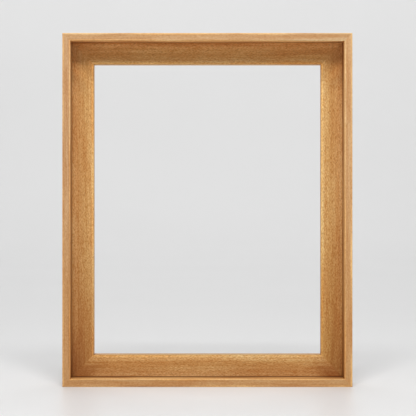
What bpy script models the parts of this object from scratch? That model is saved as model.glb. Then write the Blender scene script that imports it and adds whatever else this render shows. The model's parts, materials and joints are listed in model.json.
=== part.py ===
"""Floating picture frame in beech: four mitred lengths of one L-shaped moulding, nailed at the corners.

The frame stands on its bottom rail. X runs to the right, Y from the front to the back, Z up, and the
origin is the middle of the bottom rail's underside. All sizes are in metres.
"""

import math

import bmesh
import bpy
from mathutils import Vector

MM = 0.001

# The stretched picture that the frame is made for, and the open gap left all round it.
PICTURE_WIDTH = 240 * MM
PICTURE_HEIGHT = 300 * MM
SHADOW_GAP = 9 * MM

# The moulding: an outer wall whose front edge shows, and a base behind the picture.
FACE_WIDTH = 7.5 * MM
SHELF_WIDTH = 20.5 * MM
RECESS_DEPTH = 21 * MM
BASE_THICKNESS = 14 * MM
FACE_EDGE_RADIUS = 1.2 * MM
EASED_EDGE_RADIUS = 0.6 * MM
ARC_STEPS = 4
# Faces that meet at less than this are shaded as one round.
SMOOTH_UNDER = math.radians(30)

# Every seat, slot and glue line is left this much open.
FIT_GAP = 0.3 * MM
# Wood left between the picture shelf and any nail or screw that comes in from the back.
SHELF_COVER = 3 * MM

# V-nails, driven from the back across each mitre.
NAILS_PER_CORNER = 3
NAIL_LEG = 5.4 * MM
NAIL_WING = 0.9 * MM
NAIL_WING_TURN = math.radians(30)
NAIL_STRIP = 0.6 * MM
NAIL_SINK = 0.5 * MM
NAIL_EDGE_DISTANCE = 3 * MM

# Strap hangers with a swinging D ring, one on the back of each side rail.
HANGER_DROP = 84 * MM
STRAP_WIDTH = 9 * MM
STRAP_THICKNESS = 1 * MM
STRAP_CURL = math.radians(290)
CURL_STEPS = 14
RING_WIRE_RADIUS = 1.1 * MM
RING_SIDE = 1.7 * MM
RING_BEND_RADIUS = 2.5 * MM
RING_BEND_STEPS = 2
RING_BOW_STEPS = 10
RING_SECTION_RESOLUTION = 1
SCREW_RADIUS = 1.5 * MM
SCREW_POINT = 3 * MM
SCREW_HEAD_RADIUS = 3 * MM
SCREW_HEAD_HEIGHT = 1.8 * MM
SCREW_RECESS_WIDTH = 0.8 * MM
SCREW_RECESS_SPAN = 3.2 * MM
SCREW_RECESS_DEPTH = 1 * MM
SCREW_TO_RING = 1.4 * MM
TURNED_STEPS = 24

# Rubber bumpers that hold the lower corners off the wall, a little narrower at the top than at the wood.
BUMPER_RADIUS = 5 * MM
BUMPER_TAPER = 0.5 * MM
BUMPER_HEIGHT = 3 * MM
BUMPER_EDGE_RADIUS = 0.8 * MM
BUMPER_CLEAR_OF_CORNER = 6 * MM

# A cutter reaches this far past the face that it opens.
CUTTER_OVERRUN = 2 * MM

frame_width = PICTURE_WIDTH + 2 * (SHADOW_GAP + FACE_WIDTH)
frame_height = PICTURE_HEIGHT + 2 * (SHADOW_GAP + FACE_WIDTH)
base_width = FACE_WIDTH + SHELF_WIDTH
moulding_depth = RECESS_DEPTH + BASE_THICKNESS
front = -moulding_depth / 2
back = moulding_depth / 2
shelf = front + RECESS_DEPTH

nail_height = BASE_THICKNESS - SHELF_COVER - NAIL_SINK
screw_seat = FIT_GAP + STRAP_THICKNESS + FIT_GAP
screw_length = screw_seat + BASE_THICKNESS - SHELF_COVER

hanger_x = frame_width / 2 - base_width / 2
hanger_z = frame_height - HANGER_DROP
curl_radius = RING_WIRE_RADIUS + FIT_GAP + STRAP_THICKNESS / 2
ring_axis_height = FIT_GAP + STRAP_THICKNESS / 2 + curl_radius
ring_bow_radius = STRAP_WIDTH / 2 + FIT_GAP + RING_BEND_RADIUS
ring_drop = RING_BEND_RADIUS + RING_SIDE + ring_bow_radius
screw_drop = ring_drop + RING_WIRE_RADIUS + SCREW_TO_RING + SCREW_HEAD_RADIUS
strap_tail = screw_drop + STRAP_WIDTH / 2


def new_collection(name):
    collection = bpy.data.collections.new(name)
    bpy.context.scene.collection.children.link(collection)
    return collection


def new_material(name, colour, roughness, metallic=0.0):
    material = bpy.data.materials.new(name)
    material.use_nodes = True
    shader = material.node_tree.nodes["Principled BSDF"]
    shader.inputs["Base Color"].default_value = (*colour, 1.0)
    shader.inputs["Roughness"].default_value = roughness
    shader.inputs["Metallic"].default_value = metallic
    return material


def new_object(name, data, collection, material=None, at=(0, 0, 0), turn=(0, 0, 0), parent=None):
    """An object in one collection, placed by its location and rotation."""
    placed = bpy.data.objects.new(name, data)
    collection.objects.link(placed)
    placed.location = at
    placed.rotation_euler = turn
    placed.parent = parent
    if material is not None:
        data.materials.append(material)
    return placed


def mesh_from(name, bm, rounded=False):
    """A finished mesh; a rounded one is shaded smooth except along its corners and open edges."""
    bmesh.ops.recalc_face_normals(bm, faces=bm.faces)
    if rounded:
        for face in bm.faces:
            face.smooth = True
        for edge in bm.edges:
            edge.smooth = edge.calc_face_angle(math.pi) < SMOOTH_UNDER
    mesh = bpy.data.meshes.new(name)
    bm.to_mesh(mesh)
    bm.free()
    return mesh


def arc(centre, radius, start, end, steps):
    """Points along an arc in a plane, both ends included, the angles in radians."""
    angles = [start + (end - start) * step / steps for step in range(steps + 1)]
    return [(centre[0] + radius * math.cos(a), centre[1] + radius * math.sin(a)) for a in angles]


def prism(name, outline, low, high):
    """A flat outline in X and Z, carried along Y from low to high."""
    bm = bmesh.new()
    face = bm.faces.new([bm.verts.new((x, low, z)) for x, z in outline])
    made = bmesh.ops.extrude_face_region(bm, geom=[face])["geom"]
    far_side = [item for item in made if isinstance(item, bmesh.types.BMVert)]
    bmesh.ops.translate(bm, verts=far_side, vec=(0, high - low, 0))
    return mesh_from(name, bm)


def strip(name, path, sweep, rounded=False):
    """An open surface: a bent path of points carried along the sweep vector, for Solidify to thicken."""
    bm = bmesh.new()
    verts = [bm.verts.new(point) for point in path]
    edges = [bm.edges.new(pair) for pair in zip(verts, verts[1:])]
    made = bmesh.ops.extrude_edge_only(bm, edges=edges)["geom"]
    far_side = [item for item in made if isinstance(item, bmesh.types.BMVert)]
    bmesh.ops.translate(bm, verts=far_side, vec=sweep)
    return mesh_from(name, bm, rounded)


def thicken(sheet, thickness):
    solidify = sheet.modifiers.new("thickness", "SOLIDIFY")
    solidify.thickness = thickness
    solidify.offset = 0
    solidify.use_even_offset = True


def turned(name, profile):
    """A mesh that holds one profile of (radius, height) points, listed from the top down."""
    mesh = bpy.data.meshes.new(name)
    ends = range(len(profile) - 1)
    mesh.from_pydata([(radius, 0, height) for radius, height in profile], [(i, i + 1) for i in ends], [])
    return mesh


def spin(lathe_work):
    """Turns a profile about its own Z axis into a round solid, smooth across its facets."""
    screw = lathe_work.modifiers.new("turning", "SCREW")
    screw.steps = TURNED_STEPS
    screw.render_steps = TURNED_STEPS
    screw.use_merge_vertices = True
    screw.merge_threshold = 0.01 * MM
    screw.use_smooth_shade = True


def boolean(target, cutter, operation="DIFFERENCE"):
    cut = target.modifiers.new(cutter.name, "BOOLEAN")
    cut.operation = operation
    cut.object = cutter


def as_cutter(made):
    made.hide_render = True
    made.display_type = "WIRE"
    return made


def eased_corner(corner, before, after, radius):
    """The points of a small round that replaces a right-angled corner of an outline."""
    to_before = (Vector(before) - Vector(corner)).normalized()
    to_after = (Vector(after) - Vector(corner)).normalized()
    centre = Vector(corner) + (to_before + to_after) * radius
    points = []
    for step in range(ARC_STEPS + 1):
        angle = math.pi / 2 * step / ARC_STEPS
        points.append(centre - to_after * radius * math.cos(angle) - to_before * radius * math.sin(angle))
    return points


def moulding_outline():
    """The section of the moulding as (across, depth) points: across from the outer edge inwards."""
    corners = (
        ((0, front), FACE_EDGE_RADIUS),
        ((FACE_WIDTH, front), FACE_EDGE_RADIUS),
        ((FACE_WIDTH, shelf), 0),
        ((base_width, shelf), EASED_EDGE_RADIUS),
        ((base_width, back), EASED_EDGE_RADIUS),
        ((0, back), EASED_EDGE_RADIUS),
    )
    outline = []
    for i, (corner, radius) in enumerate(corners):
        before = corners[i - 1][0]
        after = corners[(i + 1) % len(corners)][0]
        outline += eased_corner(corner, before, after, radius) if radius else [Vector(corner)]
    return outline


def rail_mesh(name, length):
    """One length of moulding along X, its outer edge at Z 0, each end mitred at 45 degrees."""
    glue_setback = FIT_GAP / math.sqrt(2)
    bm = bmesh.new()
    face = bm.faces.new([bm.verts.new((0, depth, across)) for across, depth in moulding_outline()])
    made = bmesh.ops.extrude_face_region(bm, geom=[face])["geom"]
    right_end = {item for item in made if isinstance(item, bmesh.types.BMVert)}
    for vert in bm.verts:
        reach = length / 2 - glue_setback - vert.co.z
        vert.co.x = reach if vert in right_end else -reach
    return mesh_from(name, bm, rounded=True)


def build_rails(collection, material):
    """The four rails, each turned about Y so that its outer edge faces out."""
    places = (
        ("rail_bottom", frame_width, (0, 0, 0), 0),
        ("rail_top", frame_width, (0, 0, frame_height), math.pi),
        ("rail_left", frame_height, (-frame_width / 2, 0, frame_height / 2), math.pi / 2),
        ("rail_right", frame_height, (frame_width / 2, 0, frame_height / 2), -math.pi / 2),
    )
    rails = {}
    for name, length, at, turn in places:
        rails[name] = new_object(name, rail_mesh(name, length), collection, material, at, (0, turn, 0))
    return rails


def nail_path(wing_length, depth):
    """A V with its point at the origin and its legs at 45 degrees to -Z, each ending in a small wing."""
    legs = []
    for side in (-1, 1):
        knee = Vector((side * math.sin(math.pi / 4), 0, -math.cos(math.pi / 4))) * NAIL_LEG
        knee.y = depth
        wing_turn = math.pi / 4 + NAIL_WING_TURN
        wing = Vector((side * math.sin(wing_turn), 0, -math.cos(wing_turn))) * wing_length
        legs.append([knee + wing, knee])
    return [*legs[0], Vector((0, depth, 0)), *reversed(legs[1])]


def build_nails(collection, cutters, material, rails):
    """The V-nails of each corner stand in a row along the mitre, points towards the opening."""
    nail_top = back - NAIL_SINK
    nail_foot = nail_top - nail_height
    nail_mesh = strip("v_nail", nail_path(NAIL_WING, nail_foot), (0, nail_height, 0))
    slot_foot = nail_foot - FIT_GAP
    slot_reach = (0, back + CUTTER_OVERRUN - slot_foot, 0)
    slot_mesh = strip("v_nail_slot", nail_path(NAIL_WING + FIT_GAP, slot_foot), slot_reach)
    nail_mesh.materials.append(material)
    first = NAIL_LEG + NAIL_EDGE_DISTANCE
    last = base_width - NAIL_EDGE_DISTANCE
    for side_name, side in (("left", -1), ("right", 1)):
        for end_name, end in (("bottom", -1), ("top", 1)):
            turn = (0, math.atan2(-side, -end), 0)
            for number in range(NAILS_PER_CORNER):
                inset = first + (last - first) * number / max(1, NAILS_PER_CORNER - 1)
                at = (side * (frame_width / 2 - inset), 0, frame_height / 2 + end * (frame_height / 2 - inset))
                name = f"v_nail_{end_name}_{side_name}_{number + 1}"
                nail = new_object(name, nail_mesh, collection, None, at, turn)
                thicken(nail, NAIL_STRIP)
                slot = as_cutter(new_object(name + "_slot", slot_mesh, cutters, None, at, turn))
                thicken(slot, NAIL_STRIP + 2 * FIT_GAP)
                boolean(rails[f"rail_{end_name}"], slot)
                boolean(rails[f"rail_{side_name}"], slot)


def strap_path(x):
    """The strap seen from its side: straight up the wood from its tail, then curled round the ring's bar."""
    flat = ring_axis_height - curl_radius
    start = -math.pi / 2
    curl = arc((0, ring_axis_height), curl_radius, start, start + STRAP_CURL, CURL_STEPS)
    return [Vector((x, flat, -strap_tail))] + [Vector((x, height, up)) for up, height in curl]


def strap_outline():
    """The strap seen from behind: a straight-sided tongue whose tail is a half circle."""
    half = STRAP_WIDTH / 2
    tail = arc((0, half - strap_tail), half, math.pi, 2 * math.pi, TURNED_STEPS // 2)
    top = curl_radius + STRAP_THICKNESS
    return [(half, top), (-half, top)] + tail


def ring_points():
    """The D ring's centre line: a straight bar on the joint's axis, two tight bends and a round bow below."""
    bend_x = ring_bow_radius - RING_BEND_RADIUS
    right_bend = arc((bend_x, -RING_BEND_RADIUS), RING_BEND_RADIUS, math.pi / 2, 0, RING_BEND_STEPS)
    bow = arc((0, ring_bow_radius - ring_drop), ring_bow_radius, 0, -math.pi, RING_BOW_STEPS)
    left_bend = arc((-bend_x, -RING_BEND_RADIUS), RING_BEND_RADIUS, math.pi, math.pi / 2, RING_BEND_STEPS)
    return right_bend + bow + left_bend


def ring_curve(name):
    curve = bpy.data.curves.new(name, "CURVE")
    curve.dimensions = "3D"
    curve.twist_mode = "Z_UP"
    curve.bevel_depth = RING_WIRE_RADIUS
    curve.bevel_resolution = RING_SECTION_RESOLUTION
    points = ring_points()
    wire = curve.splines.new("POLY")
    wire.points.add(len(points) - 1)
    for point, (x, z) in zip(wire.points, points):
        point.co = (x, 0, z, 1)
    wire.use_cyclic_u = True
    return curve


def screw_profile():
    """A pan-head wood screw, its head's underside at height 0."""
    crown_radius = SCREW_HEAD_HEIGHT / 2
    crown = arc((SCREW_HEAD_RADIUS - crown_radius, crown_radius), crown_radius, math.pi / 2, 0, ARC_STEPS)
    shank = [(SCREW_HEAD_RADIUS, 0), (SCREW_RADIUS, 0), (SCREW_RADIUS, SCREW_POINT - screw_length)]
    return [(0, SCREW_HEAD_HEIGHT), *crown, *shank, (0, -screw_length)]


def cross_outline():
    """The driver's cross as seen from above the head."""
    half = SCREW_RECESS_WIDTH / 2
    span = SCREW_RECESS_SPAN / 2
    quarter = [(half, half), (half, span), (-half, span)]
    cross = []
    for _ in range(4):
        cross += quarter
        quarter = [(-z, x) for x, z in quarter]
    return cross


def build_hangers(collection, cutters, metals, rails):
    """On each side rail: the strap, its screw, and the D ring that swings on an empty at its axis."""
    crown = screw_seat + SCREW_HEAD_HEIGHT
    for side_name, side in (("left", -1), ("right", 1)):
        hanger = new_object(f"hanger_{side_name}", None, collection, at=(side * hanger_x, back, hanger_z))
        half = STRAP_WIDTH / 2
        strap_mesh = strip(f"strap_{side_name}", strap_path(-half), (STRAP_WIDTH, 0, 0), rounded=True)
        strap = new_object(f"strap_{side_name}", strap_mesh, collection, metals["strap"], parent=hanger)
        thicken(strap, STRAP_THICKNESS)

        above_strap = 2 * (ring_axis_height + curl_radius)
        outline_mesh = prism("strap_outline", strap_outline(), -CUTTER_OVERRUN, above_strap)
        outline = as_cutter(new_object(f"strap_{side_name}_outline", outline_mesh, cutters, parent=hanger))
        boolean(strap, outline, "INTERSECT")

        hole_depth = screw_length - screw_seat + FIT_GAP
        hole_outline = arc((0, 0), SCREW_RADIUS + FIT_GAP, 0, 2 * math.pi, TURNED_STEPS)[:-1]
        hole_mesh = prism("screw_hole", hole_outline, -hole_depth, screw_seat + CUTTER_OVERRUN)
        hole_name = f"screw_{side_name}_hole"
        hole = as_cutter(new_object(hole_name, hole_mesh, cutters, at=(0, 0, -screw_drop), parent=hanger))
        boolean(strap, hole)
        boolean(rails[f"rail_{side_name}"], hole)

        screw_mesh = turned(f"screw_{side_name}", screw_profile())
        head_out = (-math.pi / 2, 0, 0)
        seat = (0, screw_seat, -screw_drop)
        screw = new_object(f"screw_{side_name}", screw_mesh, collection, metals["screw"], seat, head_out, hanger)
        spin(screw)
        recess_mesh = prism("cross_recess", cross_outline(), crown - SCREW_RECESS_DEPTH, crown + CUTTER_OVERRUN)
        recess_name = f"screw_{side_name}_recess"
        recess = as_cutter(new_object(recess_name, recess_mesh, cutters, at=(0, 0, -screw_drop), parent=hanger))
        boolean(screw, recess)

        on_axis = (0, ring_axis_height, 0)
        pivot = new_object(f"ring_pivot_{side_name}", None, collection, at=on_axis, parent=hanger)
        ring_name = f"ring_{side_name}"
        new_object(ring_name, ring_curve(ring_name), collection, metals["ring"], parent=pivot)


def bumper_profile():
    edge_centre = (BUMPER_RADIUS - BUMPER_TAPER - BUMPER_EDGE_RADIUS, BUMPER_HEIGHT - BUMPER_EDGE_RADIUS)
    edge = arc(edge_centre, BUMPER_EDGE_RADIUS, math.pi / 2, 0, ARC_STEPS)
    return [(0, BUMPER_HEIGHT), *edge, (BUMPER_RADIUS, 0), (0, 0)]


def build_bumpers(collection, material):
    """A rubber disc on the back of each side rail, just above the bottom mitre."""
    for side_name, side in (("left", -1), ("right", 1)):
        name = f"bumper_{side_name}"
        rise = base_width + BUMPER_CLEAR_OF_CORNER + BUMPER_RADIUS
        at = (side * (frame_width / 2 - base_width / 2), back + FIT_GAP, rise)
        bumper = new_object(name, turned(name, bumper_profile()), collection, material, at, (-math.pi / 2, 0, 0))
        spin(bumper)


def main():
    for leftover in list(bpy.data.objects):
        bpy.data.objects.remove(leftover)
    parts = new_collection("floating_frame")
    cutters = new_collection("cutters")
    beech = new_material("oiled_beech", (0.55, 0.30, 0.12), 0.5)
    steel = new_material("bright_steel", (0.60, 0.60, 0.60), 0.35, 1.0)
    rubber = new_material("black_rubber", (0.03, 0.03, 0.03), 0.6)
    metals = {
        "strap": new_material("zinc_plated_strap", (0.68, 0.68, 0.66), 0.40, 1.0),
        "ring": new_material("zinc_plated_wire", (0.72, 0.72, 0.72), 0.25, 1.0),
        "screw": new_material("zinc_plated_screw", (0.70, 0.68, 0.62), 0.30, 1.0),
    }
    rails = build_rails(parts, beech)
    build_nails(parts, cutters, steel, rails)
    build_hangers(parts, cutters, metals, rails)
    build_bumpers(parts, rubber)


main()
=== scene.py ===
"""Looks of the floating picture frame: oiled beech moulding, nails, D-ring hangers, bumpers, and a studio."""

import json
import math
from collections import namedtuple
from functools import partial

import bmesh
import bpy
import numpy as np
from bpy.props import FloatProperty, FloatVectorProperty, PointerProperty
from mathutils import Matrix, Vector


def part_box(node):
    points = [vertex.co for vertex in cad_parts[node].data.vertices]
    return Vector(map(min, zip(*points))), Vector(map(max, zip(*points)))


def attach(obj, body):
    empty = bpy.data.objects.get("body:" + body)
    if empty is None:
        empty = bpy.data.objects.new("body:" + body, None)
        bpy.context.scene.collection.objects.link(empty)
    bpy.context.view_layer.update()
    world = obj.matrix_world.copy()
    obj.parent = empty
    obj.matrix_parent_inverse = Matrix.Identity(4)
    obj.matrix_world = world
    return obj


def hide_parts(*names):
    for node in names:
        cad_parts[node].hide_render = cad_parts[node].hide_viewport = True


bl_info = {
    "name": "Floating picture frame",
    "version": (1, 0, 0),
    "blender": (4, 5, 0),
    "location": "3D View > Sidebar > Frame",
    "description": "Builds the beech moulding, hardware and studio of a floating frame round its CAD model",
    "category": "Object",
}

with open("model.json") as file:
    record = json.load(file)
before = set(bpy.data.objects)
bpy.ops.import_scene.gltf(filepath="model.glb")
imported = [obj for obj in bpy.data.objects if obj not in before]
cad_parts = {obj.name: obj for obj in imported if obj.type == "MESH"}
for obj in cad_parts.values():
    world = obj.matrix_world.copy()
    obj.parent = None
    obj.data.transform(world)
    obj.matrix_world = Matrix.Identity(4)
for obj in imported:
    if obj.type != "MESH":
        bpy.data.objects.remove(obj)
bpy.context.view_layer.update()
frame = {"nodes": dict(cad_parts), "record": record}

MM = 0.001
# Points nearer than this are one point.
MERGE = 1e-7
# Edges that bend more than this show as an edge.
SHARP = math.radians(32)


def linear(code):
    """An sRGB hex colour as linear numbers: c / 12.92 to 0.04045, then ((c + 0.055) / 1.055) to the 2.4."""
    c = np.array([int(code[k : k + 2], 16) / 255 for k in (0, 2, 4)])
    return tuple(np.where(c <= 0.04045, c / 12.92, ((c + 0.055) / 1.055) ** 2.4).tolist())


# ---------------------------------------------------------------- what the CAD model says


def vertex_rows(mesh, key="co"):
    """A mesh's vertex places, or its vertex normals, as rows of x, y, z."""
    rows = np.zeros(len(mesh.vertices) * 3, np.float32)
    mesh.vertices.foreach_get(key, rows)
    return rows.reshape(-1, 3).astype(float)


def corners_of(name):
    """A CAD node's lowest and highest corners."""
    return [np.array(corner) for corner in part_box(name)]


def axis_of(name):
    """Where the axis of a CAD node that is turned about Y meets the plane of X and Z."""
    low, high = corners_of(name)
    return (low + high) / 2 * (1, 0, 1)


def mount_place(name):
    return np.array(next(m["pos_m"] for m in frame["record"]["mounts"] if m["name"] == name))


rail_low, rail_high = corners_of("rail_left")
front_y, back_y = rail_low[1], rail_high[1]
shelf_y = mount_place("canvas_seat")[1]
frame_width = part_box("rail_right")[1].x - rail_low[0]
frame_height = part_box("rail_top")[1].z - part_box("rail_bottom")[0].z
base_width = rail_high[0] - rail_low[0]
outer_wall = vertex_rows(frame["nodes"]["rail_left"].data)
outer_wall = outer_wall[outer_wall[:, 1] < shelf_y - 0.1 * MM]
face_width = outer_wall[:, 0].max() - rail_low[0]
SIDES = ("left", "right")
nail_names = sorted(name for name in frame["nodes"] if name.startswith("v_nail"))


# ---------------------------------------------------------------- sizes and colours that a user would change


def length_property(name, text, default):
    return FloatProperty(
        name=name, description=text, default=default, min=0.0, subtype="DISTANCE", unit="LENGTH", precision=5
    )


def colour_property(name, text, code):
    return FloatVectorProperty(
        name=name, description=text, default=linear(code), min=0.0, max=1.0, subtype="COLOR", size=3
    )


def power_property(name, text, default):
    return FloatProperty(name=name, description=text, default=default, min=0.0, subtype="POWER", unit="POWER")


class FrameWood(bpy.types.PropertyGroup):
    face_edge: length_property("Face edge radius", "Rounding of the two edges of the lip", 0.8 * MM)
    eased_edge: length_property("Eased edge radius", "Rounding of every other long edge", 0.4 * MM)
    corner_kerf: length_property("Corner kerf", "Groove that the cutter leaves beside the shelf", 0.2 * MM)
    mitre_arris: length_property("Mitre arris", "Bevel that sanding leaves along each mitre", 0.03 * MM)
    mitre_seam: length_property("Mitre seam", "Glue line between two rails", 0.005 * MM)
    nail_slot: length_property("Nail slot", "Room round each V-nail", 0.05 * MM)
    pilot_radius: length_property("Pilot hole radius", "Hole that a screw is driven into", 1.0 * MM)
    # Painted shade: how far up the wall the darkened foot of the wall fades out.
    crease_shade_height: length_property("Foot height", "How far up the wall its dark foot fades out", 12 * MM)
    lip: colour_property("Lip", "Wood of the front edge", "d3ac7e")
    # Painted highlight: the lip's eased edges are coloured paler than its face.
    edge: colour_property("Lip edges", "Eased edges of the lip, sanded paler", "fed89a")
    # Painted light: the shelf's colours turn paler beside the wall and towards the opening, palest at its
    # edge.
    inner: colour_property("Inner shelf", "Wood of the shelf beside the wall", "ddb179")
    shelf: colour_property("Middle of the shelf", "Wood half way over the shelf", "d2ad74")
    outer: colour_property("Outer shelf", "Wood of the shelf nearer the opening", "d5b074")
    opening: colour_property("Opening", "Wood of the shelf's edge", "ebcf98")
    arris: colour_property("Opening edge", "Edge and inside of the opening", "ffdc96")
    # Painted shade, over a dark line in the crease: what the foot of the wall is multiplied by.
    crease_shade_tone: colour_property("Foot of the wall", "Dark foot of the wall, beside the shelf", "9a7450")
    fleck: colour_property("Fleck", "Rays that show as short dashes", "96622f")


class FrameHardware(bpy.types.PropertyGroup):
    plating: colour_property("Zinc plating", "Strap, ring and screw", "c4c6c8")
    steel: colour_property("Nail steel", "Bright hardened strip", "a9aaac")
    rubber: colour_property("Rubber", "Bumpers", "1a1a1b")
    bloom: colour_property("Bloom", "Grey bloom on the rubber", "2c2c2d")
    seat: length_property("Seat", "Room left under a piece that is pressed on the wood", 0.03 * MM)
    strap_thickness: length_property("Strap thickness", "Sheet that the strap is pressed from", 1.0 * MM)
    screw_hole: length_property("Screw hole", "Radius of the hole in the strap", 1.75 * MM)
    strap_rim: length_property("Strap rim", "Rounding of the strap's edge", 0.22 * MM)
    ring_bend: length_property("Ring bend", "Radius of the ring's two tight bends", 2.5 * MM)
    head_height: length_property("Head height", "Height of the screw's head", 1.8 * MM)
    thread_core: length_property("Thread core", "Radius of the screw inside its thread", 1.0 * MM)
    thread_crest: length_property("Thread crest", "Radius of the screw over its thread", 1.5 * MM)
    thread_pitch: length_property("Thread pitch", "Screw thread, crest to crest", 1.3 * MM)
    bumper_edge: length_property("Bumper edge", "Rounding of the bumper's free edge", 0.8 * MM)
    bumper_taper: length_property("Bumper taper", "How much narrower the bumper's free end is", 0.5 * MM)
    bumper_foot: length_property("Bumper foot", "Rounding beside the wood", 0.15 * MM)


class FrameStudio(bpy.types.PropertyGroup):
    floor: colour_property("Floor", "Plain floor and sweep", "e6e6e6")
    flat_radius: length_property("Flat radius", "Radius of the flat floor", 2.4)
    bend_radius: length_property("Bend radius", "Radius of the curve from floor to wall", 2.0)
    wall_height: length_property("Wall height", "Top of the cove", 3.0)
    camera_distance: length_property("Camera distance", "From the camera to the face of the frame", 1.5)
    camera_side: length_property("Camera side", "How far the camera stands beside the middle", 0.6 * MM)
    camera_height: length_property("Camera height", "Height of the camera over the floor", 0.1895)
    focal_length: FloatProperty(
        name="Focal length", description="In millimetres", default=138.04, min=1.0, subtype="DISTANCE_CAMERA"
    )
    camera_shift: FloatProperty(name="Camera shift", description="Keeps uprights upright", default=-0.0541)
    top_light: power_property("Top light", "Soft light, high in front of the frame", 36.0)
    front_light: power_property("Front light", "Weak soft fill", 5.0)
    floor_light: power_property("Floor light", "Soft light from behind, on the floor", 12.5)
    backdrop_light: power_property("Backdrop light", "On the back of the cove", 49.0)
    sky: FloatProperty(name="Sky", description="Strength of the even light all round", default=0.17, min=0.0)


# ---------------------------------------------------------------- surfaces


def grid_faces(rows, columns, round_rows=False):
    """Quads between neighbouring points of a grid, whose columns go round, and its rows if asked."""
    i, j = np.meshgrid(np.arange(rows if round_rows else rows - 1), np.arange(columns), indexing="ij")
    i, j = i.ravel(), j.ravel()
    k, m = (i + 1) % rows, (j + 1) % columns
    return np.stack([i * columns + j, k * columns + j, k * columns + m, i * columns + m], axis=1).tolist()


def new_piece(name, points, faces, material=None, slot=None):
    """A piece from points and faces. Doubled points are merged, which closes seams and poles."""
    mesh = bpy.data.meshes.new(name)
    mesh.from_pydata(points.reshape(-1, 3).tolist(), [], faces)
    merged = bmesh.new()
    merged.from_mesh(mesh)
    bmesh.ops.remove_doubles(merged, verts=merged.verts, dist=MERGE)
    merged.to_mesh(mesh)
    merged.free()
    mesh.materials.append(material)
    mesh.shade_smooth()
    mesh.set_sharp_from_angle(angle=SHARP)
    piece = bpy.data.objects.new(name, mesh)
    bpy.context.scene.collection.objects.link(piece)
    return piece


def cut(piece, cutter):
    """Takes the cutter out of the piece for good."""
    modifier = piece.modifiers.new("cut", "BOOLEAN")
    modifier.operation = "DIFFERENCE"
    modifier.solver = "EXACT"
    modifier.object = cutter
    bpy.context.view_layer.update()
    result = bpy.data.meshes.new_from_object(piece.evaluated_get(bpy.context.evaluated_depsgraph_get()))
    piece.modifiers.remove(modifier)
    old, piece.data = piece.data, result
    result.name = old.name
    bpy.data.meshes.remove(old)
    result.set_sharp_from_angle(angle=SHARP)


def discard(*pieces):
    for piece in pieces:
        mesh = piece.data
        bpy.data.objects.remove(piece)
        bpy.data.meshes.remove(mesh)


def turned(profile, centre, axis, steps=48):
    """A profile of (radius, height) turned about an axis: across times radius times cosine, plus side times
    radius times sine, plus axis times height. The profile runs from the bottom pole to the top one."""
    axis = np.array(axis, float)
    across = np.array((1.0, 0.0, 0.0))
    side = np.cross(axis, across)
    angle = np.linspace(0, 2 * np.pi, steps, endpoint=False)
    radius, height = np.array(profile, float).T
    points = (
        radius[:, None, None] * (np.cos(angle)[:, None] * across + np.sin(angle)[:, None] * side)[None]
        + height[:, None, None] * axis
    )
    faces = [face[::-1] for face in grid_faces(len(radius), steps)]
    return points + centre, faces


def quarter(centre, radius, start, steps=8):
    """A quarter circle of (across, up) points from start, in quarter turns, against the clock."""
    angle = (start + np.linspace(0, 1, steps + 1)) * np.pi / 2
    return [(centre[0] + radius * math.cos(a), centre[1] + radius * math.sin(a)) for a in angle]


# ---------------------------------------------------------------- materials


def add(tree, kind, inputs=(), out=0, stops=(), **settings):
    """Adds a node with its settings, its inputs (numbers, or sockets to link, in order or by key) and its
    colour stops, and gives one of its outputs if it has any."""
    node = tree.nodes.new(kind)
    for key, value in settings.items():
        setattr(node, key, value)
    for key, value in inputs.items() if isinstance(inputs, dict) else enumerate(inputs):
        if isinstance(value, bpy.types.NodeSocket):
            tree.links.new(value, node.inputs[key])
        else:
            node.inputs[key].default_value = value
    for index, (place, colour) in enumerate(stops):
        elements = node.color_ramp.elements
        stop = elements[index] if index < 2 else elements.new(place)
        stop.position, stop.color = place, (*colour, 1.0)
    return node.outputs[out] if node.outputs else None


def new_material(name):
    """An empty material, and the function that adds nodes to it."""
    material = bpy.data.materials.new(name)
    material.use_nodes = True
    material.node_tree.nodes.clear()
    return material, partial(add, material.node_tree)


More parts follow.
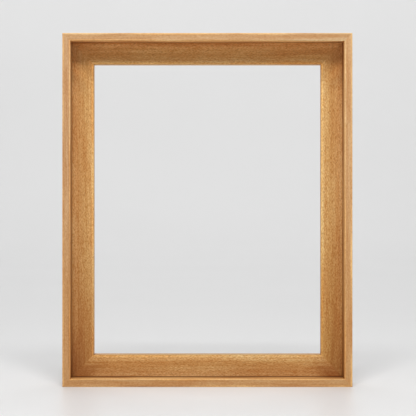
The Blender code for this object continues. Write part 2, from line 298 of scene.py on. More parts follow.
def steamed_beech(wood):
    """Steamed beech, sanded and oiled: pinkish straw, darker growth bands a few millimetres wide, fine fibres,
    and short brown ray flecks along the grain. The oil leaves a low, broken sheen. Its tones across the
    moulding also hold painted light and shade."""
    material, node = new_material("steamed_beech_sanded_and_oiled")
    grain = node("ShaderNodeAttribute", out="Vector", attribute_name="grain")
    section = node("ShaderNodeAttribute", out="Vector", attribute_name="section")
    plank = node("ShaderNodeAttribute", out="Vector", attribute_name="plank")
    across = node("ShaderNodeSeparateXYZ", (section,), "Y")
    into = node("ShaderNodeSeparateXYZ", (section,), "Z")
    mm = node("ShaderNodeVectorMath", {0: grain, "Scale": 1 / MM}, operation="SCALE")

    # The grain wanders by a millimetre or two over a hand's breadth.
    place = node("ShaderNodeVectorMath", (mm, (1 / 110, 1 / 30, 1 / 30)), operation="MULTIPLY")
    noise = {"Vector": place, "Scale": 1.0, "Detail": 1.0, "Roughness": 0.4}
    place = node("ShaderNodeTexNoise", noise, "Color")
    drift = node("ShaderNodeVectorMath", (place, (0, 5, 5), mm), operation="MULTIPLY_ADD")

    # Sizes in millimetres along, across and into the board. Real fibres are a tenth of a millimetre wide and
    # real flecks a third of one: here they are as coarse as they need to be to show.
    figure = {}
    for name, size, detail, roughness in (
        ("bands", (200, 3, 3), 2.0, 0.5),
        ("broad", (70, 9, 9), 1.0, 0.5),
        ("mottle", (2.1, 0.55, 0.55), 2.0, 0.6),
        ("fibres", (22, 0.9, 0.9), 2.0, 0.6),
    ):
        place = node("ShaderNodeVectorMath", (drift, tuple(1 / s for s in size)), operation="MULTIPLY")
        noise = {"Vector": place, "Scale": 1.0, "Detail": detail, "Roughness": roughness}
        figure[name] = node("ShaderNodeTexNoise", noise)

    # Each cell holds one fleck, if its own random number is high enough.
    flecks = []
    for size, core, edge, few, many, most in (
        ((3.2, 0.8, 0.8), 0.18, 0.42, 0.3, 0.7, 1.0),
        ((2.1, 0.5, 0.5), 0.16, 0.40, 0.45, 0.8, 0.7),
    ):
        place = node("ShaderNodeVectorMath", (drift, tuple(1 / s for s in size)), operation="MULTIPLY")
        cell = node("ShaderNodeTexVoronoi", {"Vector": place, "Scale": 1.0})
        shape = node("ShaderNodeMapRange", (cell, core, edge, 1.0, 0.0), interpolation_type="SMOOTHSTEP")
        chosen = (cell.node.outputs["Color"], few, many, 0.0, most)
        chosen = node("ShaderNodeMapRange", chosen, interpolation_type="SMOOTHSTEP")
        flecks.append(node("ShaderNodeMath", (shape, chosen), operation="MULTIPLY"))
    fleck = node("ShaderNodeMath", flecks, operation="MAXIMUM")

    # Tone over the width of the moulding, from the outer edge to the opening. Its borders wander a little.
    # The lip's eased edges get a painted highlight, and the shelf is painted paler beside the wall and towards
    # the opening, for how light falls into the recess.
    place = node("ShaderNodeMath", (across, float(base_width)), operation="DIVIDE", use_clamp=True)
    wander = node("ShaderNodeMath", (figure["broad"], 0.5), operation="SUBTRACT")
    wander = node("ShaderNodeMath", (wander, 0.12), operation="MULTIPLY")
    place = node("ShaderNodeMath", (place, wander), operation="ADD")
    edge_highlight_band = 1.4 * MM
    stops = [
        (0.0, wood.edge),
        (edge_highlight_band / base_width, wood.lip),
        ((face_width - edge_highlight_band) / base_width, wood.lip),
        ((face_width - 0.1 * MM) / base_width, wood.edge),
        ((face_width + 0.3 * MM) / base_width, wood.inner),
        (0.54, wood.shelf),
        (0.76, wood.outer),
        (0.93, wood.opening),
        (0.985, wood.arris),
    ]
    tone = node("ShaderNodeValToRGB", (place,), stops=stops)

    # The back and the outer side show one even tone: only the front and the opening get the tones above, with
    # their painted light and highlights.
    masks = {}
    for name, value, start, stop, low, high in (
        ("outer side", across, 1 * MM, 2 * MM, 1.0, 0.0),
        ("past the face", into, front_y + 0.8 * MM, front_y + 2 * MM, 0.0, 1.0),
        ("behind the shelf", into, shelf_y + 2 * MM, shelf_y + 4 * MM, 0.0, 1.0),
        ("off the opening", across, base_width - 1.5 * MM, base_width - 0.7 * MM, 1.0, 0.0),
        ("up the wall", into, shelf_y - wood.crease_shade_height, shelf_y - 2 * MM, 0.0, 0.8),
        ("before the shelf", into, shelf_y + 0.5 * MM, shelf_y + 1 * MM, 1.0, 0.0),
        # The lip is planed finer than the shelf, so that its figure is calmer.
        ("calm", across, face_width, face_width + 1 * MM, 0.6, 1.0),
    ):
        numbers = (value, float(start), float(stop), low, high)
        masks[name] = node("ShaderNodeMapRange", numbers, interpolation_type="SMOOTHSTEP")
    outside = node("ShaderNodeMath", (masks["outer side"], masks["past the face"]), operation="MULTIPLY")
    behind = (masks["behind the shelf"], masks["off the opening"])
    behind = node("ShaderNodeMath", behind, operation="MULTIPLY")
    even = node("ShaderNodeMath", (outside, behind), operation="MAXIMUM")
    tone = node("ShaderNodeMix", {0: even, 6: tone, 7: (*wood.shelf, 1.0)}, 2, data_type="RGBA")
    # The plank attribute carries each plank's own tone together with painted light and shade.
    colour = node("ShaderNodeVectorMath", (tone, plank), operation="MULTIPLY")

    for name, start, stop, tint in (
        ("bands", 0.40, 0.66, "f3e7d8"),
        ("broad", 0.35, 0.70, "f5e8da"),
        ("fibres", 0.36, 0.70, "f3e7d7"),
        ("mottle", 0.34, 0.70, "d8b888"),
    ):
        share = node("ShaderNodeMapRange", (figure[name], start, stop), interpolation_type="SMOOTHSTEP")
        if name == "mottle":
            share = node("ShaderNodeMath", (share, masks["calm"]), operation="MULTIPLY")
        mix = {0: share, 6: colour, 7: (*linear(tint), 1.0)}
        colour = node("ShaderNodeMix", mix, 2, data_type="RGBA", blend_type="MULTIPLY")
    share = node("ShaderNodeMath", (fleck, 0.75), operation="MULTIPLY")
    share = node("ShaderNodeMath", (share, masks["calm"]), operation="MULTIPLY")
    colour = node("ShaderNodeMix", {0: share, 6: colour, 7: (*wood.fleck, 1.0)}, 2, data_type="RGBA")

    # Painted shade on the wall: its foot beside the shelf is darkened, fading out higher up, over a dark line
    # in the crease.
    beside = node("ShaderNodeMath", (across, float(face_width)), operation="SUBTRACT")
    beside = node("ShaderNodeMath", (beside,), operation="ABSOLUTE")
    near = (beside, 0.25 * MM, 0.35 * MM, 1.0, 0.0)
    beside = node("ShaderNodeMapRange", near, interpolation_type="SMOOTHSTEP")
    foot = node("ShaderNodeMath", (masks["up the wall"], masks["before the shelf"]), operation="MULTIPLY")
    foot = node("ShaderNodeMath", (beside, foot), operation="MULTIPLY")
    mix = {0: foot, 6: colour, 7: (*wood.crease_shade_tone, 1.0)}
    colour = node("ShaderNodeMix", mix, 2, data_type="RGBA", blend_type="MULTIPLY")

    rough = (figure["fibres"], 0.3, 0.7, 0.44, 0.56)
    rough = node("ShaderNodeMapRange", rough, interpolation_type="SMOOTHSTEP")
    hollows = [
        node("ShaderNodeMath", (pattern, depth), operation="MULTIPLY")
        for pattern, depth in ((figure["fibres"], -0.6), (fleck, -0.5))
    ]
    height = node("ShaderNodeMath", hollows, operation="ADD")
    bump = node("ShaderNodeBump", {"Strength": 0.5, "Distance": 0.03 * MM, "Height": height})
    oiled = {"Base Color": colour, "Roughness": rough, "IOR": 1.47, "Specular IOR Level": 0.3, "Normal": bump}
    node("ShaderNodeOutputMaterial", {"Surface": node("ShaderNodeBsdfPrincipled", oiled)})
    return material


def worked_metal(name, colour, roughness, streak, streak_depth, spot):
    """Metal with fine streaks of that size in millimetres along x, y, z, and cloudy spots in its finish."""
    material, node = new_material(name)
    place = node("ShaderNodeTexCoord", out="Object")
    lines = node("ShaderNodeVectorMath", (place, tuple(1 / (s * MM) for s in streak)), operation="MULTIPLY")
    lines = node("ShaderNodeTexNoise", {"Vector": lines, "Scale": 1.0, "Detail": 3.0})
    cloud = node("ShaderNodeTexNoise", {"Vector": place, "Scale": 1 / (spot * MM), "Detail": 4.0})
    dull = tuple(0.86 * c for c in colour)
    tint = node("ShaderNodeValToRGB", (cloud,), stops=[(0.3, dull), (0.7, tuple(colour))])
    rough = node("ShaderNodeMapRange", (cloud, 0.3, 0.7, roughness * 1.25, roughness * 0.85))
    bump = node("ShaderNodeBump", {"Strength": 0.6, "Distance": streak_depth * MM, "Height": lines})
    bare = {"Base Color": tint, "Metallic": 1.0, "Roughness": rough, "Normal": bump}
    node("ShaderNodeOutputMaterial", {"Surface": node("ShaderNodeBsdfPrincipled", bare)})
    return material


def moulded_rubber(hardware):
    """Black rubber, moulded: nearly matt, with a fine pebbled skin and a little grey bloom."""
    material, node = new_material("moulded_black_rubber")
    place = node("ShaderNodeTexCoord", out="Object")
    skin = node("ShaderNodeTexNoise", {"Vector": place, "Scale": 1 / (0.25 * MM), "Detail": 2.0})
    bloom = node("ShaderNodeTexNoise", {"Vector": place, "Scale": 1 / (3 * MM), "Detail": 3.0})
    tint = node("ShaderNodeValToRGB", (bloom,), stops=[(0.35, hardware.rubber), (0.75, hardware.bloom)])
    bump = node("ShaderNodeBump", {"Strength": 0.4, "Distance": 0.04 * MM, "Height": skin})
    rough = node("ShaderNodeMapRange", (bloom, 0.3, 0.7, 0.55, 0.75))
    matt = {"Base Color": tint, "Roughness": rough, "IOR": 1.52, "Normal": bump}
    node("ShaderNodeOutputMaterial", {"Surface": node("ShaderNodeBsdfPrincipled", matt)})
    return material


def satin_floor(studio):
    """White laminate: plain, satin, with the faintest unevenness."""
    material, node = new_material("white_satin_laminate")
    place = node("ShaderNodeTexCoord", out="Object")
    cloud = node("ShaderNodeTexNoise", {"Vector": place, "Scale": 2.0, "Detail": 2.0})
    dull = tuple(0.985 * c for c in studio.floor)
    tint = node("ShaderNodeValToRGB", (cloud,), stops=[(0.3, dull), (0.7, tuple(studio.floor))])
    satin = {"Base Color": tint, "Roughness": 0.4, "IOR": 1.45}
    node("ShaderNodeOutputMaterial", {"Surface": node("ShaderNodeBsdfPrincipled", satin)})
    return material


# ---------------------------------------------------------------- the moulding

ALONG_X, ALONG_Z, INTO = np.array((1.0, 0, 0)), np.array((0, 0, 1.0)), np.array((0, 1.0, 0))
# Where each rail's board lies: its middle on the outer edge, the ways along and across it, and its length.
BOARDS = {
    "rail_bottom": (np.zeros(3), ALONG_X, ALONG_Z, frame_width),
    "rail_top": (ALONG_Z * frame_height, -ALONG_X, -ALONG_Z, frame_width),
    "rail_left": (ALONG_Z * frame_height / 2 - ALONG_X * frame_width / 2, -ALONG_Z, ALONG_X, frame_height),
    "rail_right": (ALONG_Z * frame_height / 2 + ALONG_X * frame_width / 2, ALONG_Z, -ALONG_X, frame_height),
}
# No two planks are the same. Each gives what its lip and its shelf are multiplied by (red, green, blue):
# partly its own tone, partly painted light and shade. Then what they come to at its ends (a standing rail's
# lower end), darker as painted shade, and how pale the edge of its opening is, as painted light and shade.
Plank = namedtuple("Plank", "lip shelf lip_end shelf_end opening")
PLANK_TONES_AND_PAINTED_LIGHT = {
    "rail_bottom": Plank((0.89, 0.85, 0.76), (1.02, 1.00, 1.00), (0.89, 0.85, 0.76), (0.76, 0.58, 0.38), 0.66),
    "rail_top": Plank((0.94, 0.97, 1.03), (1.09, 1.00, 0.87), (0.94, 0.97, 1.03), (1.09, 1.00, 0.87), 0.88),
    "rail_left": Plank((0.98, 1.03, 1.17), (1.00, 1.00, 1.02), (0.87, 0.79, 0.69), (0.76, 0.64, 0.51), 1.0),
    "rail_right": Plank((1.07, 1.15, 1.27), (1.02, 1.03, 1.05), (0.94, 0.88, 0.78), (0.80, 0.70, 0.52), 1.0),
}
# The first seed of the rails, and the seed of how far each board's grain is shifted.
RAIL_SEED, SHIFT_SEED = 100, 11


def smooth_step(value, start, stop):
    """A share from 0 at start to 1 at stop, either of them the lower: t t (3 - 2 t), for t a straight line."""
    share = np.clip((value - start) / (stop - start), 0, 1)
    return share * share * (3 - 2 * share)


def moulding_profile(wood, inset):
    """The L-shaped outline as corner places (across, into), the radius of each corner, which corner each
    point belongs to, and its offset from that corner in radii. A corner's round is
    corner - incoming (1 - sin t) r + outgoing (1 - cos t) r, for t over a quarter turn."""
    corners = np.array(
        [
            (0, front_y),
            (face_width, front_y),
            (face_width, shelf_y),
            (base_width, shelf_y),
            (base_width, back_y),
            (0, back_y),
        ]
    )
    kerf = 2
    eased = wood.eased_edge
    radii = np.array([wood.face_edge, wood.face_edge, wood.corner_kerf, eased, eased, eased])
    incoming = corners - np.roll(corners, 1, axis=0)
    incoming /= np.linalg.norm(incoming, axis=1)[:, None]
    outgoing = np.roll(incoming, -1, axis=0)
    inwards = np.stack([-incoming[:, 1], incoming[:, 0]], 1) + np.stack([-outgoing[:, 1], outgoing[:, 0]], 1)
    corners = corners + inset * inwards
    radii = np.where(np.arange(len(radii)) == kerf, radii, np.maximum(radii - inset, 0))
    # A line of points this far from each round keeps its shading off the flat.
    support = 0.3 * MM
    kerf_depth = 0.6
    owner, offset = [], []
    for k, radius in enumerate(radii):
        t = np.linspace(0, np.pi / 2, 9)[:, None]
        arc = -incoming[k] * (1 - np.sin(t)) + outgoing[k] * (1 - np.cos(t))
        if k == kerf:
            arc = [-incoming[k], kerf_depth * (incoming[k] - outgoing[k]), outgoing[k]]
        before = -incoming[k] * (1 + support / radius)
        after = outgoing[k] * (1 + support / radius)
        for point in (before, *arc, after):
            owner.append(k)
            offset.append(point)
    return corners, radii, np.array(owner), np.array(offset)


def rail_surface(name, wood, seed):
    """A profile carried along the board: a point's place along is station times (half length - across), so
    every station is a plane and the last ones are the mitres. Each corner's radius drifts by a few per cent on
    its way, as sanding by hand leaves it: 1 + 0.05 times a sum of four slow sines."""
    middle, along, across, length = BOARDS[name]
    draw = np.random.default_rng(seed)
    stations = np.linspace(-1, 1, 121)
    waves = 0.35 * draw.uniform(18, 70, (4, 6))
    phases = draw.uniform(0, 2 * np.pi, (4, 6))
    drift = 1 + 0.05 * np.sin(stations[:, None, None] * waves[None] + phases[None]).sum(1)
    arris = wood.mitre_arris
    rows = []
    # At each end the section is a little smaller, and the full one stops as much before it.
    for used, wobble, inset, short in (
        (stations[:1], drift[:1], arris, 0.0),
        (stations, drift, 0.0, arris),
        (stations[-1:], drift[-1:], arris, 0.0),
    ):
        corners, radii, owner, offset = moulding_profile(wood, inset)
        flat = corners[owner] + radii[owner][None, :, None] * wobble[:, owner][..., None] * offset
        half = length / 2 - flat[..., 0] - wood.mitre_seam / math.sqrt(2) - short
        rows.append(np.concatenate([(used[:, None] * half)[..., None], flat], axis=2))
    board = np.concatenate(rows)
    count = board.shape[1]
    first = list(range(count))
    last = [(len(board) - 1) * count + j for j in range(count)]
    faces = grid_faces(len(board), count) + [first, last[::-1]]
    world = middle + board[..., :1] * along + board[..., 1:2] * across + board[..., 2:] * INTO
    return world, faces


def plank_tones_with_painted_light(name, points, board):
    """What each point's colour is multiplied by (red, green, blue): its plank's own tone, with painted shade
    that turns it darker and redder towards the lower corners and under the top rail, and painted light and
    shade that change it at the edge of the opening."""
    plank = Plank(*(np.array(part) for part in PLANK_TONES_AND_PAINTED_LIGHT[name]))
    x, z = points[:, :1], points[:, 2:]
    across, into = board[:, 1:2], board[:, 2:]
    half_width = frame_width / 2
    standing = name in ("rail_left", "rail_right")
    # Painted shade: both lower corners are darkest beside the wall, and a rail darkens towards its lower ends.
    if standing:
        corner = smooth_step(z, 60 * MM, 15 * MM)
        shade_fall = smooth_step(z, 0.58 * frame_height, 0.08 * frame_height)
        lip_shade_fall = smooth_step(z, 0.78 * frame_height, 0.2 * frame_height)
    else:
        corner = smooth_step(abs(x), half_width - 42 * MM, half_width - 15 * MM) * (name == "rail_bottom")
        shade_fall = smooth_step(abs(x), half_width - 34 * MM, half_width - 18 * MM)
        lip_shade_fall = shade_fall
    painted_corner_shade = (0.22, 0.32, 0.42)

    # Painted shadow of the top rail: under it a standing rail is darker, and then warmer, as shaded wood
    # looks.
    shadow_height, shadow_spread, shadow_loss = 0.885, 0.025, (0.26, 0.29, 0.34)
    shade = np.exp(-(((z / frame_height - shadow_height) / shadow_spread) ** 2)) * shadow_loss * standing
    shadow_warmth = (0.09, 0.0, -0.13)
    shadow_warming = 1 + smooth_step(z, 0.87 * frame_height, 0.92 * frame_height) * shadow_warmth * standing

    on_lip = (across < face_width / 2) | (into < shelf_y - 1 * MM)
    # Only the shelf's front has its tones: the back is even.
    front = into < shelf_y + 1 * MM
    shelf = plank.shelf + (plank.shelf_end - plank.shelf) * shade_fall
    shelf = np.where(front, shelf * (1 - shade) * shadow_warming, 1.0)
    shelf = shelf * (1 - corner * (across < face_width + 0.6 * MM) * painted_corner_shade)
    tone = np.where(on_lip, plank.lip + (plank.lip_end - plank.lip) * lip_shade_fall, shelf)
    # Painted shade: the edge of the opening is darker on the top and bottom rails.
    tone = tone * np.where(across > base_width - 0.5 * MM, plank.opening, 1.0)
    if name == "rail_top":
        # Painted light: its shelf is paler beside the wall than at the opening.
        even_at, painted_light_tilt = 0.63, 0.17 / 0.35
        tone = tone * np.where(on_lip | ~front, 1.0, 1 + painted_light_tilt * (even_at - across / base_width))
        # Painted highlight: one end of its lip is paler and pinker.
        pale = smooth_step(x, 0.28 * frame_width, 0.44 * frame_width) * on_lip
        tone = tone * (1 + pale * (0.06, 0.18, 0.32))
    if name == "rail_bottom":
        # A dark line runs along the foot of its wall.
        at_foot = (abs(across - face_width) < 0.25 * MM) & (into > shelf_y - 0.6 * MM)
        tone = tone * np.where(at_foot & (into < shelf_y + 0.1 * MM), 0.6, 1.0)
    return tone


def write_grain(piece, name, shift):
    """Gives each point its place in its board (along, across, into), shifted so that no two boards match, its
    place in the section (0, across, into), and its plank's tone with its painted light and shade."""
    middle, along, across, _ = BOARDS[name]
    points = vertex_rows(piece.data)
    board = np.stack([(points - middle) @ direction for direction in (along, across, INTO)], axis=1)
    for key, values in (
        ("grain", board + shift),
        ("section", board * (0, 1, 1)),
        ("plank", plank_tones_with_painted_light(name, points, board)),
    ):
        attribute = piece.data.attributes.new(key, "FLOAT_VECTOR", "POINT")
        attribute.data.foreach_set("vector", values.astype(np.float32).ravel())


def nail_cutter(grow):
    """All the V-nails as one cutter, grown a little and run out through the back of the wood."""
    cutter = bpy.data.meshes.new("nail_cutter")
    joined = bmesh.new()
    for name in nail_names:
        joined.from_mesh(frame["nodes"][name].data)
    bmesh.ops.remove_doubles(joined, verts=joined.verts, dist=0.001 * MM)
    joined.to_mesh(cutter)
    joined.free()
    points = vertex_rows(cutter)
    outer_end = points[:, 1] > points[:, 1].max() - 0.1 * MM
    points += vertex_rows(cutter, "normal") * grow
    points[outer_end, 1] = back_y + 1 * MM
    cutter.vertices.foreach_set("co", points.astype(np.float32).ravel())
    piece = bpy.data.objects.new("nail_cutter", cutter)
    bpy.context.scene.collection.objects.link(piece)
    return piece


def pilot_cutter(side, radius):
    """The hole that a screw is driven into: as wide as the thread's core, and as long as the screw."""
    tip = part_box("screw_" + side)[0].y - 0.2 * MM
    mouth = back_y + 1 * MM
    profile = [(0, tip), (radius, tip + 2.5 * radius), (radius, mouth), (0, mouth)]
    return new_piece("pilot_" + side, *turned(profile, axis_of("screw_" + side), INTO, 24))


class FRAME_OT_rails(bpy.types.Operator):
    """Builds the four mitred rails with their nail slots and pilot holes"""

    bl_idname = "floating_frame.rails"
    bl_label = "Beech rails"

    def execute(self, context):
        wood = context.scene.frame_wood
        beech = steamed_beech(wood)
        nails = nail_cutter(wood.nail_slot)
        pilots = {"rail_" + side: pilot_cutter(side, wood.pilot_radius) for side in SIDES}
        draw = np.random.default_rng(SHIFT_SEED)
        for seed, name in enumerate(BOARDS, RAIL_SEED):
            piece = new_piece("beech_" + name, *rail_surface(name, wood, seed), beech, "beech")
            cut(piece, nails)
            if name in pilots:
                cut(piece, pilots[name])
            write_grain(piece, name, draw.uniform(1, 9, 3))
            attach(piece, "frame")
            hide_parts(name)
        discard(nails, *pilots.values())
        return {"FINISHED"}


# ---------------------------------------------------------------- nails, hangers and bumpers


class FRAME_OT_nails(bpy.types.Operator):
    """Gives the V-nails their bright steel"""

    bl_idname = "floating_frame.nails"
    bl_label = "V-nails"

    def execute(self, context):
        # Hardened strip, rolled: fine lines run down the nail, and it is a little blued.
        colour = context.scene.frame_hardware.steel
        steel = worked_metal("rolled_spring_steel", colour, 0.34, (0.12, 6.0, 0.12), 0.01, 1.5)
        for name in nail_names:
            for slot in frame["nodes"][name].material_slots:
                slot.material = steel
        return {"FINISHED"}


def strap_surface(side, hardware):
    """A flat strap with a round tail, bent into a knuckle. In the flat it is the set of points
    (along, sideways): inside the rim's inner line, and the rim itself adds a quarter-round of radius r,
    along - r cos f on the tail and sideways + r cos f on the edges, with height r sin f. The flat strap is
    then carried along the side view: up the wood, out by a smooth step to the knuckle, and round it."""
    axis = mount_place(side + "_hanging_ring")
    low, high = corners_of("strap_" + side)
    half_width = (high[0] - low[0]) / 2
    thickness, rim = hardware.strap_thickness, hardware.strap_rim
    curl_radius = high[1] - axis[1] - thickness / 2
    curl_angle = math.radians(290)
    tail = axis[2] - low[2]
    inner = half_width - rim
    turn = np.linspace(0, np.pi / 2, 15)
    straight = np.linspace(half_width, tail, 40)[1:]
    curl = np.linspace(0, curl_angle, 49)[1:] * curl_radius + tail
    rest = len(straight) + len(curl)
    along = np.concatenate([half_width - inner * np.cos(turn), straight, curl])
    spread = np.concatenate([inner * np.sin(turn), np.full(rest, inner)])
    out = np.concatenate([np.stack([-np.cos(turn), np.sin(turn)], 1), np.tile((0.0, 1.0), (rest, 1))])

    # Round the section: top from left to right, right rim, bottom from right to left, left rim.
    over = np.linspace(-1, 1, 9)
    level = np.ones(len(over))
    fillet = np.linspace(np.pi / 2, -np.pi / 2, 11)
    sideways = np.concatenate([over, np.ones(len(fillet)), -over, -np.ones(len(fillet))])
    rim_out = np.concatenate([0 * level, np.cos(fillet), 0 * level, np.cos(fillet[::-1])])
    lift = np.concatenate([level, np.sin(fillet), -level, np.sin(fillet[::-1])])
    s = along[:, None] + rim * rim_out[None] * out[:, :1]
    x = spread[:, None] * sideways[None] + rim * rim_out[None] * np.sign(sideways)[None] * out[:, 1:]
    n = np.sign(lift)[None] * (thickness / 2 - rim) + rim * lift[None] + np.zeros_like(s)

    # The side view: place and outward direction at each distance along it.
    rise_length = 7 * MM
    rise = smooth_step(s, tail - rise_length, tail)
    plate = hardware.seat + thickness / 2
    knuckle = axis[1] - back_y - curl_radius
    angle = np.clip((s - tail) / curl_radius, 0, None)
    bent = s > tail
    flat_y = back_y + plate + (knuckle - plate) * rise + n
    y = np.where(bent, axis[1] - (curl_radius - n) * np.cos(angle), flat_y)
    z = np.where(bent, axis[2] + (curl_radius - n) * np.sin(angle), axis[2] - tail + s)
    points = np.stack([axis[0] + x, y, z], axis=2)
    end = [(len(along) - 1) * len(sideways) + j for j in range(len(sideways))]
    return points, grid_faces(len(along), len(sideways)) + [end]


class FRAME_OT_straps(bpy.types.Operator):
    """Builds the pressed straps that hold the rings"""

    bl_idname = "floating_frame.straps"
    bl_label = "Straps"

    def execute(self, context):
        hardware = context.scene.frame_hardware
        # Zinc over pressed sheet: pale grey, a little cloudy, with fine lines across it from the roller.
        zinc = worked_metal("zinc_plated_pressed_steel", hardware.plating, 0.3, (0.4, 0.4, 0.05), 0.004, 0.8)
        radius, below, above = hardware.screw_hole, back_y - 1 * MM, back_y + 3 * MM
        hole = [(0, below), (radius, below), (radius, above), (0, above)]
        for side in SIDES:
            surface = strap_surface(side, hardware)
            piece = new_piece("strap_with_knuckle_" + side, *surface, zinc, "strap_zinc")
            drill = new_piece("screw_hole", *turned(hole, axis_of("screw_" + side), INTO))
            cut(piece, drill)
            discard(drill)
            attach(piece, "frame")
            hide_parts("strap_" + side)
        return {"FINISHED"}


def arc(centre, radius, start, stop, count):
    """The points of an arc between its two ends, and the direction from its centre to each."""
    a = np.linspace(start, stop, count)[1:-1]
    direction = np.stack([np.cos(a), np.sin(a)], 1)
    return np.array(centre) + radius * direction, direction


def ring_surface(side, bend, steps=22):
    """A round wire carried along a D: the bar, two bends, two short sides and the bow. A point is the path's
    place plus the wire's radius times (cosine of f towards the outside, sine of f along Y)."""
    axis = mount_place(side + "_hanging_ring")
    low, high = corners_of("ring_" + side)
    wire = (high[1] - low[1]) / 2
    bow = (high[0] - low[0]) / 2 - wire
    low_end = bow - (axis[2] - low[2] - wire)
    bar = np.linspace(-(bow - bend), bow - bend, 14)
    upright = np.linspace(-bend, low_end, 4)
    parts = [
        (np.stack([bar, 0 * bar], 1), np.tile((0.0, 1.0), (len(bar), 1))),
        arc((bow - bend, -bend), bend, np.pi / 2, 0, 10),
        (np.stack([0 * upright + bow, upright], 1), np.tile((1.0, 0.0), (len(upright), 1))),
        arc((0, low_end), bow, 0, -np.pi, 44),
        (np.stack([0 * upright - bow, upright[::-1]], 1), np.tile((-1.0, 0.0), (len(upright), 1))),
        arc((-(bow - bend), -bend), bend, np.pi, np.pi / 2, 10),
    ]
    path = np.concatenate([places for places, _ in parts])
    out = np.concatenate([directions for _, directions in parts])
    f = np.linspace(0, 2 * np.pi, steps, endpoint=False)
    plane = path[:, None] + wire * np.cos(f)[None, :, None] * out[:, None]
    depth = np.broadcast_to(wire * np.sin(f)[None], plane.shape[:2])
    points = axis + np.stack([plane[..., 0], depth, plane[..., 1]], axis=2)
    return points, grid_faces(len(path), steps, round_rows=True)


class FRAME_OT_rings(bpy.types.Operator):
    """Builds the D rings, which swing in their straps"""

    bl_idname = "floating_frame.rings"
    bl_label = "D rings"

    def execute(self, context):
        hardware = context.scene.frame_hardware
        # Zinc over drawn wire: the smoothest and brightest of the fittings, with soft ripples.
        zinc = worked_metal("zinc_plated_steel_wire", hardware.plating, 0.22, (1.5, 1.5, 1.5), 0.006, 0.9)
        for side in SIDES:
            piece = new_piece("d_ring_" + side, *ring_surface(side, hardware.ring_bend), zinc, "ring_zinc")
            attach(piece, side + "_d_ring")
            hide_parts("ring_" + side)
        return {"FINISHED"}


def head_surface(centre, under, radius, height, turn, steps=96):
    """A pan head with a cross recess, turned by an angle. Height over the seat is a dome, height times
    (0.22 + 0.78 (1 - (radius share)^4.5)^(1/2)), less the recess: its depth times how far a point lies inside
    either arm, with sloping walls."""
    rim_share = 0.22
    depth = 1.05 * MM
    arm_width, wall_width = 0.42 * MM, 0.16 * MM
    arm_reach, end_slope = 1.6 * MM, 0.7 * MM
    share = np.concatenate([np.linspace(0, 0.66, 34), np.linspace(0.66, 1, 17)[1:]])
    angle = np.linspace(0, 2 * np.pi, steps, endpoint=False)
    r, a = np.meshgrid(share * radius, angle, indexing="ij")
    x, z = r * np.cos(a), r * np.sin(a)
    dome = height * (rim_share + (1 - rim_share) * np.sqrt(1 - np.minimum(r / radius, 1) ** 4.5))
    p, q = x * math.cos(turn) - z * math.sin(turn), x * math.sin(turn) + z * math.cos(turn)
    narrow, far = np.minimum(abs(p), abs(q)), np.maximum(abs(p), abs(q))
    wall = np.clip((arm_width - narrow) / wall_width, 0, 1) * np.clip((arm_reach - far) / end_slope, 0, 1)
    rows = [np.stack([x, dome - depth * wall, z], 2)]
    # The rim drops to the seat and turns in under the head.
    for share_under, level in ((1.0, 0.1), (0.96, 0.0), (0.5, 0.0), (0.0, 0.0)):
        edge = share_under * radius
        ring = [edge * np.cos(angle), np.full(steps, level * height), edge * np.sin(angle)]
        rows.append(np.stack(ring, 1)[None])
    grid = np.concatenate(rows)
    return grid + centre + under * INTO, grid_faces(len(grid), steps)


def shank_surface(centre, under, length, hardware, columns=24):
    """A tapered wood-screw thread. Its radius is the core's plus the thread's height times a sharp tooth of
    the phase (distance / pitch - angle), and both shrink to the point as the distance from it to the 0.8."""
    pitch, core = hardware.thread_pitch, hardware.thread_core
    depth = hardware.thread_crest - core
    tooth_width = 0.22
    plain_length, run_in, taper_length = 1.5 * MM, 1 * MM, 3 * MM
    rows_per_turn = 10
    down = np.linspace(0, length, int(length / pitch * rows_per_turn))
    angle = np.linspace(0, 2 * np.pi, columns, endpoint=False)
    phase = (down[:, None] / pitch - angle[None] / (2 * np.pi)) % 1
    tooth = np.clip(1 - abs(phase - 0.5) / tooth_width, 0, 1)
    point = np.clip((length - down) / taper_length, 0, 1)[:, None]
    start = np.clip((down - plain_length) / run_in, 0, 1)[:, None]
    radius = (core + depth * tooth * start) * point**0.8
    x, z = radius * np.cos(angle), radius * np.sin(angle)
    y = np.broadcast_to(under - down[:, None], x.shape)
    cap = np.array([(0.0, under, 0.0)] * columns)[None]
    grid = np.concatenate([cap, np.stack([x, y, z], 2)])
    return grid + centre, grid_faces(len(grid), columns)


class FRAME_OT_screws(bpy.types.Operator):
    """Builds the pan-head wood screws with cross recess and thread"""

    bl_idname = "floating_frame.screws"
    bl_label = "Screws"

    def execute(self, context):
        hardware = context.scene.frame_hardware
        # Zinc over a forged head and a rolled thread: bright, with a fine grain in every direction.
        zinc = worked_metal("zinc_plated_screw_steel", hardware.plating, 0.26, (0.3, 0.3, 0.3), 0.005, 0.7)
        # The head lies on the strap with a hair of room, and its shank begins inside it.
        under = back_y + hardware.seat + hardware.strap_thickness + 0.02 * MM
        overlap = 0.2 * MM
        # No two screws stop at the same turn.
        for side, turn in zip(SIDES, (0.35, 1.1)):
            centre = axis_of("screw_" + side)
            low, high = corners_of("screw_" + side)
            radius = (high[0] - low[0]) / 2
            head, head_faces = head_surface(centre, under, radius, hardware.head_height, turn)
            shank, shank_faces = shank_surface(centre, under + overlap, under - low[1], hardware)
            points = np.concatenate([head.reshape(-1, 3), shank.reshape(-1, 3)])
            shift = len(points) - shank.size // 3
            faces = head_faces + [[v + shift for v in face] for face in shank_faces]
            piece = new_piece("pan_head_screw_" + side, points, faces, zinc, "screw_zinc")
            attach(piece, "frame")
            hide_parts("screw_" + side)
        return {"FINISHED"}


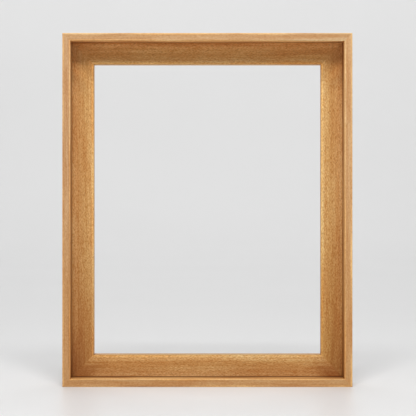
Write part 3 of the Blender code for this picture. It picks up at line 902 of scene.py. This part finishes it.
class FRAME_OT_bumpers(bpy.types.Operator):
    """Builds the rubber bumpers near the lower corners"""

    bl_idname = "floating_frame.bumpers"
    bl_label = "Bumpers"

    def execute(self, context):
        hardware = context.scene.frame_hardware
        rubber = moulded_rubber(hardware)
        taper, edge, foot = hardware.bumper_taper, hardware.bumper_edge, hardware.bumper_foot
        base = back_y + hardware.seat
        for side in SIDES:
            low, high = corners_of("bumper_" + side)
            radius, top = (high[0] - low[0]) / 2, high[1]
            crown = radius - taper - edge
            profile = [(0, base), (radius - foot, base), *quarter((radius - foot, base + foot), foot, 3, 4)]
            profile += [(radius - taper / 2, (base + top) / 2), *quarter((crown, top - edge), edge, 0, 8)]
            profile += [(crown * share, top) for share in np.linspace(1, 0, 8)[1:]]
            surface = turned(profile, axis_of("bumper_" + side), INTO, 56)
            piece = new_piece("rubber_bumper_" + side, *surface, rubber, "rubber")
            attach(piece, "frame")
            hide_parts("bumper_" + side)
        return {"FINISHED"}


# ---------------------------------------------------------------- the studio


def new_light(name, size, power, place, aim):
    """A soft rectangular light of that width and height, turned towards its aim."""
    data = bpy.data.lights.new(name, "AREA")
    data.shape = "RECTANGLE"
    data.size, data.size_y = size
    data.energy = power
    light = bpy.data.objects.new(name, data)
    bpy.context.scene.collection.objects.link(light)
    light.location = place
    light.rotation_euler = (Vector(aim) - Vector(place)).to_track_quat("-Z", "Y").to_euler()


class FRAME_OT_studio(bpy.types.Operator):
    """Sets up the pale floor and sweep, the soft lights and the camera"""

    bl_idname = "floating_frame.studio"
    bl_label = "Studio"

    def execute(self, context):
        scene, studio = context.scene, context.scene.frame_studio
        # A flat round floor that curves up all round into a low wall, so that it has no edge from any side.
        flat, bend = studio.flat_radius, studio.bend_radius
        side_view = [(0, 0), *[(flat * k / 8, 0) for k in range(1, 8)], *quarter((flat, bend), bend, 3, 24)]
        side_view += [(flat + bend, studio.wall_height)]
        points, faces = turned(side_view, np.zeros(3), ALONG_Z, 128)
        floor = new_piece("floor_cove", points, [face[::-1] for face in faces], satin_floor(studio))

        world = bpy.data.worlds.new("even_sky")
        world.use_nodes = True
        sky = world.node_tree.nodes["Background"].inputs
        sky["Color"].default_value = (1, 1, 1, 1)
        sky["Strength"].default_value = studio.sky
        scene.world = world

        # Each light's width and height, its power, its place and what it is turned towards, in metres.
        middle = (0, 0, frame_height / 2)
        new_light("top_light", (0.9, 0.5), studio.top_light, (0, -1.3, middle[2] + 1.55), middle)
        new_light("front_light", (1.6, 0.8), studio.front_light, (0, -2.4, 0.7), middle)
        new_light("floor_light", (1.6, 1.0), studio.floor_light, (0, 1.1, 1.9), middle)
        new_light("backdrop_light", (3.0, 0.6), studio.backdrop_light, (0, 2.2, 2.6), (0, 4.4, 0.6))

        data = bpy.data.cameras.new("camera")
        data.lens = studio.focal_length
        data.sensor_width = 36
        data.shift_y = studio.camera_shift
        data.clip_start, data.clip_end = 0.01, 20
        camera = bpy.data.objects.new("camera", data)
        scene.collection.objects.link(camera)
        camera.location = (studio.camera_side, front_y - studio.camera_distance, studio.camera_height)
        camera.rotation_euler = (math.pi / 2, 0, 0)
        scene.camera = camera
        scene.view_settings.view_transform = "Standard"
        return {"FINISHED"}


# ---------------------------------------------------------------- the add-on

OPERATORS = (
    FRAME_OT_rails,
    FRAME_OT_nails,
    FRAME_OT_straps,
    FRAME_OT_rings,
    FRAME_OT_screws,
    FRAME_OT_bumpers,
    FRAME_OT_studio,
)
SETTINGS = {"frame_wood": FrameWood, "frame_hardware": FrameHardware, "frame_studio": FrameStudio}


class FRAME_PT_panel(bpy.types.Panel):
    """The frame's sizes, colours and building steps"""

    bl_label = "Floating frame"
    bl_idname = "FRAME_PT_panel"
    bl_space_type = "VIEW_3D"
    bl_region_type = "UI"
    bl_category = "Frame"

    def draw(self, context):
        for group_name in SETTINGS:
            group = getattr(context.scene, group_name)
            box = self.layout.box()
            for key in group.__annotations__:
                box.prop(group, key)
        for operator in OPERATORS:
            self.layout.operator(operator.bl_idname)


def register():
    for kind in (*SETTINGS.values(), *OPERATORS, FRAME_PT_panel):
        bpy.utils.register_class(kind)
    for name, group in SETTINGS.items():
        setattr(bpy.types.Scene, name, PointerProperty(type=group))


def unregister():
    for name in SETTINGS:
        delattr(bpy.types.Scene, name)
    for kind in reversed((*SETTINGS.values(), *OPERATORS, FRAME_PT_panel)):
        bpy.utils.unregister_class(kind)


def main():
    register()
    for step in ("rails", "nails", "straps", "rings", "screws", "bumpers", "studio"):
        getattr(bpy.ops.floating_frame, step)()


if __name__ == "__main__":
    main()
